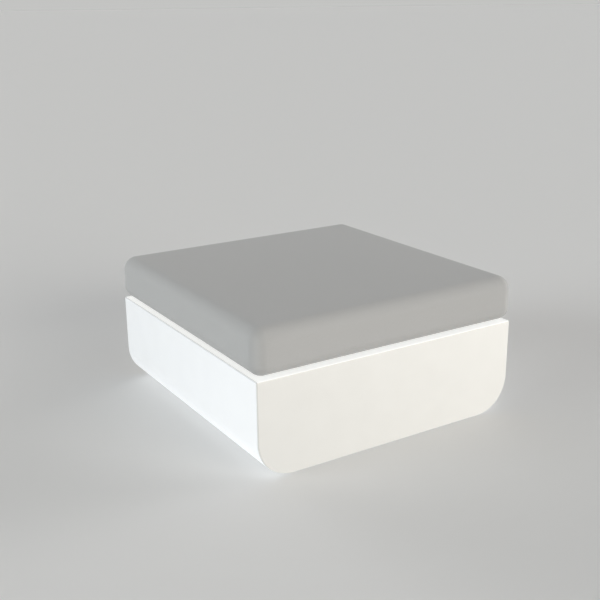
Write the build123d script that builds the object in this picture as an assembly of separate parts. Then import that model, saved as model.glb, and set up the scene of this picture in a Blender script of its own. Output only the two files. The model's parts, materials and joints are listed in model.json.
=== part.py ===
"""Square light-up stool: a moulded translucent shell lit from inside, under an upholstered cushion.

Millimetres. +Z is up, the floor is z = 0, and the origin is under the middle of the stool.
The flat ends of the shell face -Y and +Y, and its rounded sides face -X and +X.
"""

from math import cos, hypot, pi, sin
import os

from build123d import *

# Moulded shell
body_width = 800
body_depth = 800
body_height = 260
side_radius = 100
edge_radius = 4
wall = 6
foot_stand = 3

# Seat board and the recess it drops into
rim_width = 60
recess_radius = 30
board_thickness = 12
board_clearance = 1.5
board_screw_inset = 40

# Hook and loop strips between board and cushion
hook_thickness = 1.5
loop_thickness = 1.5
strip_width = 40
strip_end_inset = 70
strip_row_inset = 140
strip_count = 3

# Cushion
cushion_overhang = 5
cushion_height = 123
cushion_gap = 4
cushion_top_radius = 38
cushion_bottom_radius = 34
cushion_corner_radius = 40
cover_thickness = 1.5
foam_clearance = 0.3

# Zip in a channel across the back of the cover
zip_inset = 85
channel_height = 16
channel_margin = 0.9
zip_stop = 3
tape_thickness = 0.8
tape_gap = 1
coil_width = 2.5
coil_thickness = 1.6
slider_length = 13
slider_plate = 1.2
slider_clearance = 0.3
pull_length = 24
pull_thickness = 1.2
pull_hole_radius = 1.5
pull_corner = 2

# Glides
foot_radius = 20
foot_edge = 1
foot_sink = 4
foot_inset = 60
foot_clearance = 0.5

# Screws and moulded-in inserts
screw_radius = 2.5
screw_head_radius = 4.6
screw_head_height = 2.8
insert_wall = 1.8
insert_waist = 0.6
insert_length = 10
insert_cap = 2
boss_wall = 4
fit = 0.1
small_screw_radius = 1.5
small_head_radius = 2.8
small_head_height = 1.8
small_screw_bite = 8
plate_screw_bite = 4
hole_slack = 0.5
head_cover = 1.5
tip_room = 1

# Light module: flange plate under the shell
flange_width = 20
flange_thickness = 5
flange_recess = 1
flange_clearance = 2
gasket_thickness = 2
flange_screw_count = 8
spigot_wall = 3
spigot_clearance = 1.5

# Light module: opal dome
dome_wall = 2.5
dome_foot_width = 9
dome_foot_thickness = 3
dome_seal_thickness = 1.5
dome_screw_count = 6
dome_round = 30
dome_headroom = 36
dome_room = 4

# Light module: space between neighbouring pieces, and slack between cups and what they hold
part_gap = 3
seat_slack = 0.3

# Controls in the pocket under the module
pocket_width = 80
pocket_length = 40
pocket_wall = 2.5
pocket_clearance = 1.5
ceiling_thickness = 3
barrel_radius = 6
barrel_wall = 1.1
barrel_length = 16
bezel_radius = 8.5
bezel_thickness = 2
nut_height = 4
nut_width = 15
button_radius = 4
button_shoulder = 0.6
button_shoulder_height = 1.5
button_edge = 0.6
button_travel = 2
button_pressed_proud = 1
lip_thickness = 1.2
spring_wire_radius = 0.35
spring_turns = 5
spring_pitch = 1.3
jack_bore_radius = 2.9
jack_bore_depth = 10
jack_pin_radius = 1
jack_pin_setback = 1.5

# Hinged cover over the charging socket
cover_plate = 2.5
cover_seal = 1.2
cover_margin = 1.5
cover_corner = 3
hinge_offset = 5
knuckle_radius = 2.2
pin_radius = 1
pin_fit = 0.05
ear_thickness = 2
ear_gap = 0.4

# Battery
cell_radius = 9.2
cell_length = 65
cell_count = 3
cell_pitch_gap = 0.8
cell_tip_radius = 3
cell_tip_height = 1.2
cradle_wall = 1.6
cradle_floor = 2
cradle_height = 10
strap_width = 14
strap_thickness = 1.2
strap_foot = 8

# Control board
circuit_thickness = 1.6
circuit_depth = 44
circuit_edge = 2
standoff_radius = 3.5
connector_height = 8
connector_depth = 9
connector_width = 10
upright_height = 4
choke_radius = 6
choke_height = 8.5
capacitor_radius = 4
capacitor_height = 12
transistor_width = 7
transistor_depth = 9
controller_size = 12
receiver_width = 16
receiver_depth = 10
chip_height = 2
component_pitch = 12
lead_radius = 1.5
lead_bend = 5
lead_straight = 2

# Light source
carrier_thickness = 3
carrier_post_radius = 5
carrier_post_count = 4
light_board_margin = 4
led_size = 5
led_height = 1.2
led_lens_radius = 1.9
led_lens_height = 0.5
outer_led_count = 16
outer_led_inset = 11.5
inner_led_count = 8
inner_led_inset = 34
lead_hole_radius = 4
lead_loop_rise = 12
lead_loop_reach = 12

# Heights
shell_z = foot_stand
rim_z = shell_z + body_height
cushion_z = rim_z + cushion_gap
board_top_z = cushion_z - hook_thickness - loop_thickness
recess_z = board_top_z - board_thickness
flange_z = shell_z + flange_recess
base_z = flange_z + flange_thickness
ring_z = base_z + gasket_thickness
ring_top_z = ring_z + insert_length + insert_cap

# Plan sizes
cushion_width = body_width + 2 * cushion_overhang
cushion_depth = body_depth + 2 * cushion_overhang
recess_width = body_width - 2 * rim_width
recess_depth = body_depth - 2 * rim_width
insert_bore_radius = screw_radius + fit
insert_radius = insert_bore_radius + insert_wall
boss_radius = insert_radius + boss_wall

# Control pocket and battery side by side across the module
pocket_outer_width = pocket_width + 2 * pocket_wall
pocket_outer_length = pocket_length + 2 * pocket_wall
cell_pitch = 2 * cell_radius + cell_pitch_gap
cradle_length = cell_length + 2 * (seat_slack + cradle_wall) + cell_tip_height
cradle_depth = cell_count * cell_pitch + 2 * cradle_wall
module_span = pocket_outer_length + part_gap + cradle_depth + 2 * strap_foot
pocket_y = -module_span / 2 + pocket_outer_length / 2
cradle_y = module_span / 2 - strap_foot - cradle_depth / 2
control_x = pocket_width / 4

# Socket cover, and the pocket depth that lets it hang open inside
flap_half = bezel_radius + cover_margin
hinge_x = control_x + bezel_radius + hinge_offset
flap_swing = hinge_x - control_x + flap_half
seal_drop = bezel_thickness + seat_slack
hinge_drop = seal_drop + cover_seal + cover_plate / 2
pocket_height = hinge_drop + flap_swing + pocket_clearance
ceiling_z = flange_z + pocket_height
ceiling_top_z = ceiling_z + ceiling_thickness
hinge_z = ceiling_z - hinge_drop
barrel_top_z = ceiling_top_z + barrel_length

# Control board stands over the battery, level with the leads from the controls
cell_z = base_z + cradle_floor + cell_radius
cell_top_z = cell_z + cell_radius + seat_slack
standoff_x = cradle_length / 2 + part_gap + standoff_radius
circuit_width = 2 * (standoff_x + standoff_radius + circuit_edge)
circuit_over_battery = cell_top_z + strap_thickness + part_gap
circuit_lead_drop = connector_height / 2 + circuit_thickness
circuit_over_controls = barrel_top_z + lead_bend + lead_straight - circuit_lead_drop
circuit_z = max(circuit_over_battery, circuit_over_controls)
circuit_top_z = circuit_z + circuit_thickness
circuit_front_y = cradle_y - circuit_depth / 2
lead_z = circuit_top_z + connector_height / 2

# Light source above the control board
carrier_z = circuit_top_z + max(choke_height, capacitor_height, connector_height) + part_gap
carrier_top_z = carrier_z + carrier_thickness
light_board_top_z = carrier_top_z + circuit_thickness
led_top_z = light_board_top_z + led_height + led_lens_height
post_circle = max(module_span, circuit_width) / 2 + part_gap + carrier_post_radius
carrier_radius = post_circle + carrier_post_radius
light_board_radius = post_circle - small_head_radius - light_board_margin
led_lead_y = circuit_front_y + connector_depth / 2 + part_gap

# The dome clears everything it covers, and the shell's opening clears the dome
module_reach = max(
    hypot(pocket_outer_width / 2, module_span / 2),
    hypot(cradle_length / 2, module_span / 2),
    hypot(circuit_width / 2, cradle_y + circuit_depth / 2),
    carrier_radius,
)
dome_inner_radius = module_reach + dome_room
dome_radius = dome_inner_radius + dome_wall
dome_foot_radius = dome_radius + dome_foot_width
dome_foot_z = base_z + dome_seal_thickness
dome_top_z = led_top_z + dome_headroom
spigot_inner_radius = dome_foot_radius + seat_slack
spigot_radius = spigot_inner_radius + spigot_wall
access_radius = spigot_radius + spigot_clearance
flange_radius = access_radius + flange_width
flange_screw_circle = access_radius + flange_width / 2
flange_pocket_radius = flange_radius + flange_clearance
dome_screw_circle = dome_radius + dome_foot_width / 2

MIDDLE_UP = (Align.CENTER, Align.CENTER, Align.MIN)
MIDDLE_BACK = (Align.CENTER, Align.MIN, Align.CENTER)
HEXAGON_SIDE_COUNT = 6
SOCKET_SHARE = 0.75
SOCKET_DEPTH_SHARE = 0.6
HEAD_ROUND_SHARE = 0.33


def rod(radius, bottom, top, x=0.0, y=0.0):
    """Upright cylinder between two heights."""
    return Pos(x, y, bottom) * Cylinder(radius, top - bottom, align=MIDDLE_UP)


def ring(radius, bore, bottom, top, x=0.0, y=0.0):
    """Upright tube between two heights."""
    return rod(radius, bottom, top, x, y) - rod(bore, bottom, top, x, y)


def block(width, depth, bottom, top, x=0.0, y=0.0):
    """Upright box between two heights."""
    return Pos(x, y, bottom) * Box(width, depth, top - bottom, align=MIDDLE_UP)


def panel(width, depth, radius, bottom, top):
    """Flat panel with rounded corners between two heights."""
    return extrude(Pos(0, 0, bottom) * RectangleRounded(width, depth, radius), top - bottom)


def on_circle(radius, count, start=0.0):
    """Points evenly spaced on a circle about the module's axis; start is a share of one step."""
    step = 2 * pi / count
    turns = [step * (i + start) for i in range(count)]
    return [(radius * cos(a), radius * sin(a)) for a in turns]


def four_corners(x, y):
    """The four mirror images of a point."""
    return [(-x, -y), (x, -y), (-x, y), (x, y)]


def tube(points, radius, bend):
    """Round lead along straight runs with rounded corners."""
    path = FilletPolyline(*points, radius=bend)
    return sweep(Plane(origin=path @ 0, z_dir=path % 0) * Circle(radius), path=path)


def screw(shank, head_radius, head_height, length, x, y, seat_z, up=True):
    """Pan-head screw with a hexagon socket. The head bears on seat_z, and up is the way the tip points."""
    head = rod(head_radius, -head_height, 0)
    head = fillet(head.edges().group_by(Axis.Z)[0], head_height * HEAD_ROUND_SHARE)
    socket = Pos(0, 0, -head_height) * RegularPolygon(shank * SOCKET_SHARE, HEXAGON_SIDE_COUNT)
    body = rod(shank, 0, length) + head - extrude(socket, head_height * SOCKET_DEPTH_SHARE)
    return Pos(x, y, seat_z) * (body if up else Rot(180, 0, 0) * body)


def small_screw(length, x, y, seat_z):
    """Small pan-head screw pointing down."""
    return screw(small_screw_radius, small_head_radius, small_head_height, length, x, y, seat_z, up=False)


def insert(x, y, mouth_z, up=True):
    """Brass insert with a plain bore and a gripping waist. From its mouth it goes in upwards or downwards."""
    third = insert_length / 3
    body = ring(insert_radius, insert_bore_radius, 0, insert_length)
    body -= ring(insert_radius, insert_radius - insert_waist, third, 2 * third)
    return Pos(x, y, mouth_z) * (body if up else Rot(180, 0, 0) * body)


def insert_hole(x, y, mouth_z, up=True):
    """Room for an insert and the tip of its screw."""
    depth = insert_length + tip_room
    hole = rod(insert_radius, 0, insert_length) + rod(insert_bore_radius, insert_length, depth)
    return Pos(x, y, mouth_z) * (hole if up else Rot(180, 0, 0) * hole)


# Fixing points
foot_pocket_radius = foot_radius + foot_clearance
foot_x = body_width / 2 - side_radius - foot_pocket_radius - wall
foot_points = four_corners(foot_x, body_depth / 2 - foot_inset)
flange_points = on_circle(flange_screw_circle, flange_screw_count, 0.5)
dome_points = on_circle(dome_screw_circle, dome_screw_count, 0.5)
post_points = on_circle(post_circle, carrier_post_count)
board_screw_x = recess_width / 2 - board_screw_inset
board_screw_y = recess_depth / 2 - board_screw_inset
board_points = four_corners(board_screw_x, board_screw_y)
board_points += [(-board_screw_x, 0), (board_screw_x, 0), (0, -board_screw_y), (0, board_screw_y)]
strap_screw_y = cradle_depth / 2 + strap_foot / 2 + strap_thickness / 2
strap_points = [(0, cradle_y - strap_screw_y), (0, cradle_y + strap_screw_y)]
standoff_points = [
    (x, cradle_y + y)
    for x, y in four_corners(standoff_x, circuit_depth / 2 - circuit_edge - standoff_radius)
]


def shell_block(width, depth, bottom, top, radius):
    """Block that is square at the top and rounded along the foot of both sides."""
    outline = Pos(0, (bottom + top) / 2) * Rectangle(width, top - bottom)
    outline = fillet(outline.vertices().group_by(Axis.Y)[0], radius)
    return extrude(Plane.XZ * outline, depth / 2, both=True)


def make_body_shell():
    """Hollow moulding with one wall all round, joggled up round the light module and down under the board."""
    outer = shell_block(body_width, body_depth, shell_z, rim_z, side_radius)
    along = outer.edges().filter_by(Axis.Y)
    across = outer.edges().filter_by(Axis.Y, reverse=True)
    outer = fillet(across + along.group_by(Axis.Z)[-1], edge_radius)

    hollow = shell_block(
        body_width - 2 * wall, body_depth - 2 * wall, shell_z + wall, rim_z - wall, side_radius - wall
    )
    step_width = recess_width + 2 * wall
    step_depth = recess_depth + 2 * wall
    hollow -= panel(step_width, step_depth, recess_radius + wall, recess_z - wall, rim_z)
    hollow -= rod(flange_pocket_radius + wall, shell_z, ring_top_z)
    shell = outer - hollow

    foot_top = shell_z + foot_sink
    boss_depth = insert_length + insert_cap
    for x, y in foot_points:
        shell += rod(foot_pocket_radius + wall, shell_z + wall, foot_top + wall, x, y)
        shell += rod(boss_radius, foot_top, foot_top + boss_depth, x, y)
    for x, y in board_points:
        shell += rod(boss_radius, recess_z - boss_depth, recess_z - wall, x, y)

    shell -= panel(recess_width, recess_depth, recess_radius, recess_z, rim_z)
    shell -= rod(flange_pocket_radius, shell_z, ring_z)
    shell -= rod(access_radius, ring_z, ring_top_z)
    for x, y in foot_points:
        shell -= rod(foot_pocket_radius, shell_z, foot_top, x, y)
        shell -= insert_hole(x, y, foot_top)
    for x, y in flange_points:
        shell -= insert_hole(x, y, ring_z)
    for x, y in board_points:
        shell -= insert_hole(x, y, recess_z, up=False)
    return shell


def make_foot(x, y):
    """Rubber glide, sunk in the shell, with its screw head let into it."""
    top = shell_z + foot_sink
    pad = fillet(rod(foot_radius, 0, top, x, y).edges().group_by(Axis.Z)[0], foot_edge)
    pad -= rod(screw_head_radius + hole_slack, 0, head_cover + screw_head_height, x, y)
    return pad - rod(screw_radius + hole_slack, 0, top, x, y)


def make_foot_screw(x, y):
    """Screw that holds one glide."""
    seat = head_cover + screw_head_height
    length = shell_z + foot_sink - seat + insert_length
    return screw(screw_radius, screw_head_radius, screw_head_height, length, x, y, seat)


def make_seat_board():
    """Panel that carries the sitter and holds the hook strips, with sunk screw holes."""
    width = recess_width - 2 * board_clearance
    depth = recess_depth - 2 * board_clearance
    seat = board_top_z - screw_head_height - head_cover
    board = panel(width, depth, recess_radius - board_clearance, recess_z, board_top_z)
    for x, y in board_points:
        board -= rod(screw_radius + hole_slack, recess_z, seat, x, y)
        board -= rod(screw_head_radius + hole_slack, seat, board_top_z, x, y)
    return board


def make_board_screw(x, y):
    """Screw down through the seat board, with its head below the board's face."""
    seat = board_top_z - screw_head_height - head_cover
    length = seat - recess_z + insert_length
    return screw(screw_radius, screw_head_radius, screw_head_height, length, x, y, seat, up=False)


def make_strips(bottom, thickness):
    """Row of flat strips across the seat board."""
    length = recess_width - 2 * strip_end_inset
    first = strip_row_inset - recess_depth / 2
    pitch = -2 * first / (strip_count - 1)
    rows = [first + i * pitch for i in range(strip_count)]
    return [block(length, strip_width, bottom, bottom + thickness, 0, y) for y in rows]


def cushion_block(inset):
    """Cushion form with rounded corners and edges, taken in evenly on every face."""
    bottom = cushion_z + inset
    top = cushion_z + cushion_height - inset
    width = cushion_width - 2 * inset
    depth = cushion_depth - 2 * inset
    form = panel(width, depth, cushion_corner_radius - inset, bottom, top)
    form = fillet(form.faces().sort_by(Axis.Z)[-1].edges(), cushion_top_radius - inset)
    return fillet(form.faces().sort_by(Axis.Z)[0].edges(), cushion_bottom_radius - inset)


side_height = cushion_height - cushion_bottom_radius - cushion_top_radius
zip_z = cushion_z + cushion_bottom_radius + side_height / 2
zip_length = cushion_width - 2 * zip_inset
back_y = cushion_depth / 2
bridge_radius = slider_plate / 2
eye_radius = bridge_radius + pull_thickness / 2
zip_stack = tape_thickness + coil_thickness + slider_plate + 2 * slider_clearance + 2 * eye_radius
channel_depth = cover_thickness + zip_stack + channel_margin
channel_floor_y = back_y - channel_depth + cover_thickness


def back_block(width, height, near, far, x=0.0, z=zip_z):
    """Box on the back of the cushion, between two distances from its middle."""
    return Pos(x, near, z) * Box(width, far - near, height, align=MIDDLE_BACK)


def make_cover():
    """Sewn cover with the zip's channel turned in across its back."""
    cover = cushion_block(0) - cushion_block(cover_thickness)
    lining_length = zip_length + 2 * cover_thickness
    lining_height = channel_height + 2 * cover_thickness
    channel_back_y = back_y - channel_depth
    cover += back_block(lining_length, lining_height, channel_back_y, back_y - cover_thickness)
    cover -= back_block(zip_length, channel_height, channel_floor_y, back_y)
    return cover - back_block(zip_length, tape_gap, channel_back_y, channel_floor_y)


def make_foam():
    """Foam block inside the cover, relieved behind the zip's channel."""
    slack = 2 * (cover_thickness + foam_clearance)
    relief_y = back_y - channel_depth - foam_clearance
    foam = cushion_block(cover_thickness + foam_clearance)
    return foam - back_block(zip_length + slack, channel_height + slack, relief_y, back_y)


def make_zip_tapes():
    """Two woven tapes sewn to the floor of the channel, either side of the opening."""
    height = (channel_height - tape_gap) / 2 - seat_slack
    lift = tape_gap / 2 + height / 2
    face = channel_floor_y + tape_thickness
    return [back_block(zip_length, height, channel_floor_y, face, 0, zip_z + s * lift) for s in (-1, 1)]


def make_zip_coils():
    """Two rows of coil, one on the edge of each tape."""
    lift = (tape_gap + coil_width) / 2
    near = channel_floor_y + tape_thickness
    far = near + coil_thickness
    return [back_block(zip_length, coil_width, near, far, 0, zip_z + s * lift) for s in (-1, 1)]


slider_inner = tape_gap + 2 * (coil_width + slider_clearance)
slider_width = slider_inner + 2 * slider_plate
slider_x = zip_length / 2 - slider_length / 2 - zip_stop
slider_near_y = channel_floor_y + tape_thickness + slider_clearance
slider_roof_y = channel_floor_y + tape_thickness + coil_thickness + slider_clearance
slider_face_y = slider_roof_y + slider_plate
pull_y = slider_face_y + slider_clearance + eye_radius
pull_width = slider_width - 2 * (slider_plate + slider_clearance)


def bridge_rod(radius, length):
    """Upright cylinder on the line that the pull turns about."""
    return Pos(slider_x, pull_y, zip_z) * Cylinder(radius, length)


def make_zip_slider():
    """Slider that straddles both coils, with a bridge for the pull."""
    body = back_block(slider_length, slider_width, slider_near_y, slider_face_y, slider_x)
    body -= back_block(slider_length, slider_inner, slider_near_y, slider_roof_y, slider_x)
    post_top_y = pull_y + bridge_radius
    for side in (-1, 1):
        post_z = zip_z + side * (slider_width - slider_plate) / 2
        body += back_block(slider_plate, slider_plate, slider_face_y, post_top_y, slider_x, post_z)
    return body + bridge_rod(bridge_radius, slider_width)


def make_zip_pull():
    """Tab on the slider's bridge, lying back along the coils."""
    near = pull_y - pull_thickness / 2
    tip_x = slider_x - pull_length
    tab = back_block(pull_length, pull_width, near, near + pull_thickness, (slider_x + tip_x) / 2)
    tab = fillet(tab.edges().filter_by(Axis.Y).group_by(Axis.X)[0], pull_corner)
    hole = Rot(90, 0, 0) * Cylinder(pull_hole_radius, pull_thickness)
    tab -= Pos(tip_x + pull_width / 2, pull_y, zip_z) * hole
    tab += bridge_rod(eye_radius, pull_width)
    return tab - bridge_rod(bridge_radius + pin_fit, pull_width)


def hinge_rod(radius, length, along):
    """Cylinder on the socket cover's hinge line."""
    return Pos(hinge_x, pocket_y + along, hinge_z) * Rot(90, 0, 0) * Cylinder(radius, length)


def make_module_base():
    """Flange plate of the light module, with a control pocket, a spigot and bosses for its boards."""
    base = rod(flange_radius, flange_z, base_z)
    base += ring(spigot_radius, spigot_inner_radius, base_z, ring_top_z)
    base += block(pocket_outer_width, pocket_outer_length, base_z, ceiling_top_z, 0, pocket_y)
    for x, y in post_points:
        base += rod(carrier_post_radius, base_z, carrier_z, x, y)
    for x, y in standoff_points:
        base += rod(standoff_radius, base_z, circuit_z, x, y)
    base -= block(pocket_width, pocket_length, flange_z, ceiling_z, 0, pocket_y)

    ear_y = flap_half + ear_gap + ear_thickness / 2
    for side in (-1, 1):
        along = side * ear_y
        base += block(2 * knuckle_radius, ear_thickness, hinge_z, ceiling_z, hinge_x, pocket_y + along)
        base += hinge_rod(knuckle_radius, ear_thickness, along)
    base -= hinge_rod(pin_radius, 2 * ear_y + ear_thickness, 0)

    for x in (-control_x, control_x):
        base -= rod(barrel_radius + fit, ceiling_z, ceiling_top_z, x, pocket_y)
    for x, y in flange_points:
        base -= rod(screw_radius + hole_slack, flange_z, base_z, x, y)
        base -= rod(screw_head_radius + hole_slack, flange_z, flange_z + screw_head_height, x, y)
    for x, y in dome_points + strap_points:
        base -= rod(small_screw_radius + fit, base_z - plate_screw_bite, base_z, x, y)
    for x, y in post_points:
        base -= rod(small_screw_radius + fit, carrier_z - small_screw_bite - tip_room, carrier_z, x, y)
    for x, y in standoff_points:
        base -= rod(small_screw_radius + fit, circuit_z - small_screw_bite - tip_room, circuit_z, x, y)
    return base


def make_flange_gasket():
    """Flat seal between the flange and the shell."""
    gasket = ring(flange_radius, access_radius, base_z, ring_z)
    for x, y in flange_points:
        gasket -= rod(screw_radius + hole_slack, base_z, ring_z, x, y)
    return gasket


def make_flange_screw(x, y):
    """Screw that holds the module up in the shell."""
    seat = flange_z + screw_head_height
    length = ring_z - seat + insert_length
    return screw(screw_radius, screw_head_radius, screw_head_height, length, x, y, seat)


def make_dome_seal():
    """Flat seal under the dome's foot."""
    seal = ring(dome_foot_radius, dome_inner_radius, base_z, dome_foot_z)
    for x, y in dome_points:
        seal -= rod(small_screw_radius + fit, base_z, dome_foot_z, x, y)
    return seal


def make_dome():
    """Opal cover that softens the light, with a screwed foot."""
    outer = fillet(rod(dome_radius, dome_foot_z, dome_top_z).edges().group_by(Axis.Z)[-1], dome_round)
    inner = rod(dome_inner_radius, dome_foot_z, dome_top_z - dome_wall)
    inner = fillet(inner.edges().group_by(Axis.Z)[-1], dome_round - dome_wall)
    foot = rod(dome_foot_radius, dome_foot_z, dome_foot_z + dome_foot_thickness)
    dome = outer + foot - inner
    for x, y in dome_points:
        dome -= rod(small_screw_radius + fit, dome_foot_z, dome_foot_z + dome_foot_thickness, x, y)
    return dome


def make_dome_screw(x, y):
    """Screw down through the dome's foot into the flange plate."""
    seat = dome_foot_z + dome_foot_thickness
    length = seat - base_z + plate_screw_bite
    return small_screw(length, x, y, seat)


def barrel_body(x):
    """Flanged barrel of a panel-mounted control, from its face up through the pocket's ceiling."""
    face = ceiling_z - bezel_thickness
    bezel = rod(bezel_radius, face, ceiling_z, x, pocket_y)
    return bezel + rod(barrel_radius, face, barrel_top_z, x, pocket_y)


def make_nut(x):
    """Hexagon nut that clamps a control to the pocket's ceiling."""
    outline = RegularPolygon(nut_width / 2, HEXAGON_SIDE_COUNT, major_radius=False)
    nut = extrude(Pos(x, pocket_y, ceiling_top_z) * outline, nut_height)
    return nut - rod(barrel_radius + fit, ceiling_top_z, ceiling_top_z + nut_height, x, pocket_y)


switch_x = -control_x
button_bore = barrel_radius - barrel_wall
lip_z = ceiling_z - bezel_thickness + lip_thickness
shoulder_top_z = lip_z + seat_slack + button_shoulder_height
spring_length = spring_turns * spring_pitch
switch_bore_top_z = shoulder_top_z + spring_length + 2 * spring_wire_radius + seat_slack


def make_switch_barrel():
    """Barrel of the push switch; the lip at its mouth keeps the button in."""
    mouth = button_radius + seat_slack
    barrel = barrel_body(switch_x)
    barrel -= rod(button_bore, lip_z, switch_bore_top_z, switch_x, pocket_y)
    return barrel - rod(mouth, ceiling_z - bezel_thickness, lip_z, switch_x, pocket_y)


def make_power_button():
    """Round button with a shoulder behind the barrel's lip."""
    face = ceiling_z - bezel_thickness - button_travel - button_pressed_proud
    cap = rod(button_radius, face, shoulder_top_z, switch_x, pocket_y)
    cap = fillet(cap.edges().group_by(Axis.Z)[0], button_edge)
    shoulder_radius = button_radius + button_shoulder
    return cap + rod(shoulder_radius, lip_z + seat_slack, shoulder_top_z, switch_x, pocket_y)


def make_button_spring():
    """Coil that pushes the button back out, wound to bear on the button and on the end of the bore."""
    coil_radius = button_radius - spring_wire_radius
    coil = Helix(spring_pitch, spring_length, coil_radius)
    section = Plane(origin=coil @ 0, z_dir=coil % 0) * Circle(spring_wire_radius)
    wire = sweep(section, path=coil, is_frenet=True)
    return Pos(switch_x, pocket_y, shoulder_top_z + spring_wire_radius + seat_slack / 2) * wire


def make_charge_jack():
    """Barrel socket for the charger's plug."""
    face = ceiling_z - bezel_thickness
    jack = barrel_body(control_x)
    return jack - rod(jack_bore_radius, face, face + jack_bore_depth, control_x, pocket_y)


def make_jack_pin():
    """Middle contact of the socket."""
    face = ceiling_z - bezel_thickness
    return rod(jack_pin_radius, face + jack_pin_setback, face + jack_bore_depth, control_x, pocket_y)


def make_socket_cover():
    """Flap over the socket, with a knuckle on the hinge pin."""
    middle_x = hinge_x - flap_swing / 2
    plate_z = hinge_z - cover_plate / 2
    plate = block(flap_swing, 2 * flap_half, plate_z, plate_z + cover_plate, middle_x, pocket_y)
    plate = fillet(plate.edges().filter_by(Axis.Z).group_by(Axis.X)[0], cover_corner)
    plate += hinge_rod(knuckle_radius, 2 * flap_half, 0)
    return plate - hinge_rod(pin_radius + pin_fit, 2 * flap_half, 0)


def make_cover_seal():
    """Soft pad on the flap that closes on the socket's face."""
    bottom = hinge_z + cover_plate / 2
    return rod(bezel_radius, bottom, bottom + cover_seal, control_x, pocket_y)


def make_hinge_pin():
    """Pin through both ears and the flap's knuckle."""
    return hinge_rod(pin_radius, 2 * (flap_half + ear_gap + ear_thickness), 0)


def cell_rows():
    """Middle of each battery cell, front to back."""
    first = cradle_y - cell_pitch * (cell_count - 1) / 2
    return [first + i * cell_pitch for i in range(cell_count)]


def lying(radius, length, x, y):
    """Cylinder lying along X at the height of the cells."""
    return Pos(x, y, cell_z) * Rot(0, 90, 0) * Cylinder(radius, length)


def make_cell(y):
    """Round cell with its raised end contact."""
    tip = lying(cell_tip_radius, cell_tip_height, cell_length / 2, y)
    body = lying(cell_radius, cell_length, -cell_tip_height / 2, y)
    return body + tip


def make_cradle():
    """Tray with a trough for each cell."""
    top = base_z + cradle_floor + cradle_height
    trough_length = cell_length + cell_tip_height + 2 * seat_slack
    cradle = block(cradle_length, cradle_depth, base_z, top, 0, cradle_y)
    for y in cell_rows():
        cradle -= lying(cell_radius + seat_slack, trough_length, 0, y)
    return cradle


def make_strap():
    """Sheet strap over the cells, screwed down at both feet."""
    inner = cradle_depth + 2 * seat_slack
    outer = inner + 2 * strap_thickness
    feet = cradle_depth + 2 * strap_foot
    strap = block(strap_width, outer, base_z, cell_top_z + strap_thickness, 0, cradle_y)
    strap += block(strap_width, feet, base_z, base_z + strap_thickness, 0, cradle_y)
    strap -= block(strap_width, inner, base_z, cell_top_z, 0, cradle_y)
    for x, y in strap_points:
        strap -= rod(small_screw_radius + fit, base_z, base_z + strap_thickness, x, y)
    return strap


def make_strap_screw(x, y):
    """Screw through one foot of the strap."""
    seat = base_z + strap_thickness
    length = strap_thickness + plate_screw_bite
    return small_screw(length, x, y, seat)


def make_circuit_board():
    """Control board on four standoffs."""
    board = block(circuit_width, circuit_depth, circuit_z, circuit_top_z, 0, cradle_y)
    for x, y in standoff_points:
        board -= rod(small_screw_radius + fit, circuit_z, circuit_top_z, x, y)
    return board


def make_circuit_screw(x, y):
    """Screw that holds one corner of the control board."""
    length = circuit_thickness + small_screw_bite
    return small_screw(length, x, y, circuit_top_z)


def make_connectors():
    """Plug housings on the control board: two at its front edge, one at its side and one upright."""
    top = circuit_top_z + connector_height
    front_y = circuit_front_y + connector_depth / 2
    side_x = circuit_width / 2 - connector_depth / 2
    upright_top = circuit_top_z + upright_height
    return [
        block(connector_width, connector_depth, circuit_top_z, top, -control_x, front_y),
        block(connector_width, connector_depth, circuit_top_z, top, control_x, front_y),
        block(connector_depth, connector_width, circuit_top_z, top, side_x, cradle_y),
        block(connector_width, connector_depth, circuit_top_z, upright_top, 0, led_lead_y),
    ]


def on_circuit(make, *size, x, y, height):
    """Component that stands on the control board."""
    return make(*size, circuit_top_z, circuit_top_z + height, x, y)


def make_driver_parts():
    """Choke, capacitors, drive transistors, controller and radio receiver on the control board."""
    row_y = cradle_y + circuit_depth / 4
    middle_y = cradle_y - part_gap
    choke_x = -2 * component_pitch
    parts = [
        on_circuit(rod, choke_radius, x=choke_x, y=row_y, height=choke_height),
        on_circuit(block, controller_size, controller_size, x=choke_x, y=middle_y, height=chip_height),
        on_circuit(block, receiver_width, receiver_depth, x=control_x, y=middle_y, height=chip_height),
    ]
    for column in (-1, 0):
        x = column * component_pitch
        parts.append(on_circuit(rod, capacitor_radius, x=x, y=row_y, height=capacitor_height))
    for column in (1, 2):
        x = column * component_pitch
        parts.append(on_circuit(block, transistor_width, transistor_depth, x=x, y=row_y, height=chip_height))
    return parts


def make_carrier():
    """Aluminium plate that carries the lights and spreads their heat."""
    carrier = rod(carrier_radius, carrier_z, carrier_top_z)
    for x, y in post_points:
        carrier -= rod(small_screw_radius + fit, carrier_z, carrier_top_z, x, y)
    return carrier - rod(lead_hole_radius, carrier_z, carrier_top_z, 0, led_lead_y)


def make_carrier_screw(x, y):
    """Screw that holds the carrier to one post."""
    length = carrier_thickness + small_screw_bite
    return small_screw(length, x, y, carrier_top_z)


def make_light_board():
    """Round metal-core board under the lights."""
    board = rod(light_board_radius, carrier_top_z, light_board_top_z)
    return board - rod(lead_hole_radius, carrier_top_z, light_board_top_z, 0, led_lead_y)


def make_leds():
    """Rings of surface-mounted lights, each a square package with a round window."""
    points = on_circle(light_board_radius - outer_led_inset, outer_led_count, 0.5)
    points += on_circle(light_board_radius - inner_led_inset, inner_led_count, 0.5)
    window_z = light_board_top_z + led_height
    lights = []
    for x, y in points:
        package = block(led_size, led_size, light_board_top_z, window_z, x, y)
        lights.append(package + rod(led_lens_radius, window_z, led_top_z, x, y))
    return lights


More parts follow.
